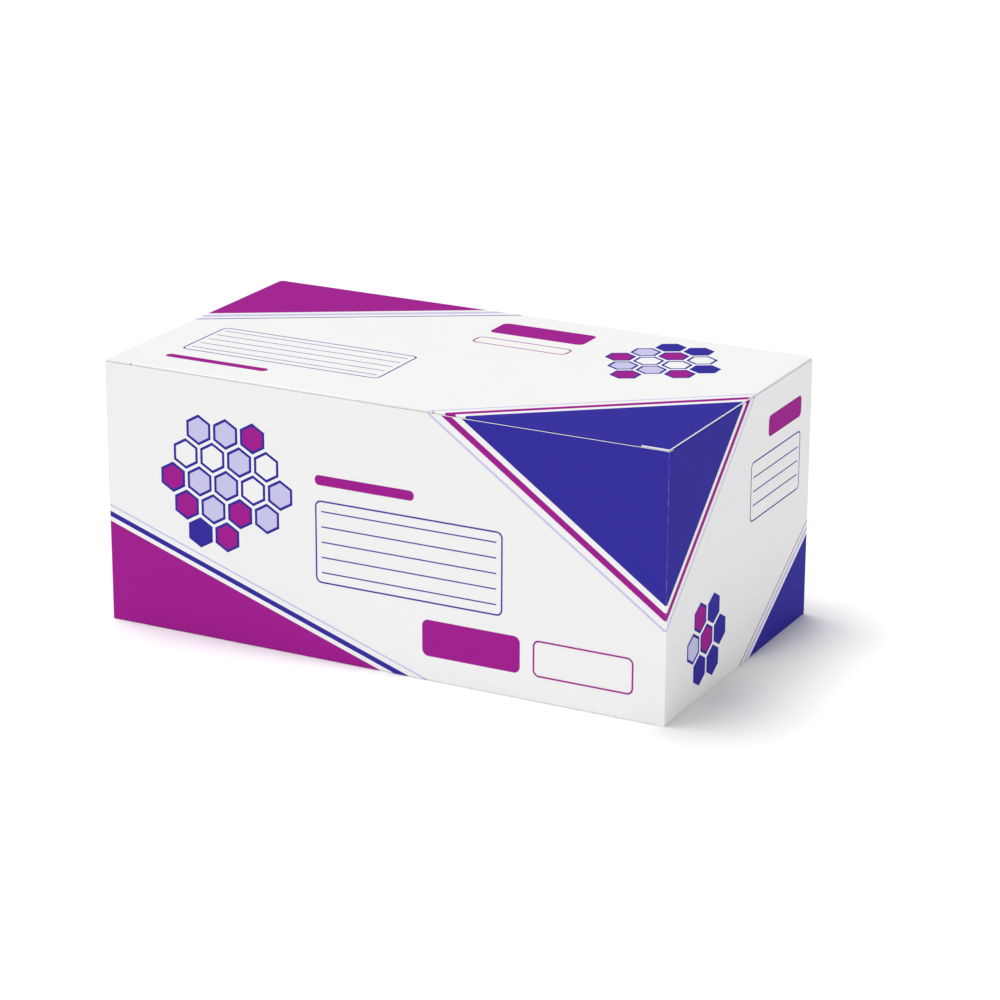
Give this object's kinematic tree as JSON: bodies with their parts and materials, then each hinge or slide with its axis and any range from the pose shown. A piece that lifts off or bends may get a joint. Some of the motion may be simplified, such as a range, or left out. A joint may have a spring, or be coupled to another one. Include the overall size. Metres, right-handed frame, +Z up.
{
  "type": "folding carton for surgical face masks",
  "caption": "Closed tuck-top folding carton of printed board, hollow inside, with a hinged lid, tuck flap and dust flaps.",
  "frame": {"origin": "middle of the base, on the surface it stands on", "axes": "+X along the front towards its right end, +Y from the front to the back, +Z up through the lid"},
  "size_m": [0.18, 0.1, 0.08],
  "materials": {
    "printed_board": "coated white carton board, offset printed in blue and magenta, semi-gloss varnish",
    "plain_board": "unprinted coated white carton board, satin"
  },
  "bodies": {
    "carton": {"wall_sleeve": "printed_board", "base_minor_flap_left": "plain_board", "base_minor_flap_right": "plain_board", "base_inner_flap": "plain_board", "base_outer_flap": "plain_board"},
    "lid": {"lid_panel": "printed_board"},
    "tuck_flap": {"tuck_flap": "plain_board"},
    "dust_flap_left": {"dust_flap_left": "plain_board"},
    "dust_flap_right": {"dust_flap_right": "plain_board"}
  },
  "joints": [
    {"name": "lid_hinge", "type": "hinge", "parent": "carton", "child": "lid", "pos_m": [0, 0.04977, 0.07977], "axis": [-1, 0, 0], "range_deg": [0, 175]},
    {"name": "tuck_fold", "type": "hinge", "parent": "lid", "child": "tuck_flap", "pos_m": [0, -0.04902, 0.07977], "axis": [-1, 0, 0], "range_deg": [0, 44]},
    {"name": "dust_fold_left", "type": "hinge", "parent": "carton", "child": "dust_flap_left", "pos_m": [-0.08977, 0, 0.07923], "axis": [0, -1, 0], "range_deg": [0, 88]},
    {"name": "dust_fold_right", "type": "hinge", "parent": "carton", "child": "dust_flap_right", "pos_m": [0.08977, 0, 0.07923], "axis": [0, 1, 0], "range_deg": [0, 88]}
  ],
  "couplings": [
    {"joint": "tuck_fold", "follows": "lid_hinge", "ratio": 0.25},
    {"joint": "dust_fold_left", "follows": "lid_hinge", "ratio": 0.5},
    {"joint": "dust_fold_right", "follows": "lid_hinge", "ratio": 0.5}
  ]
}
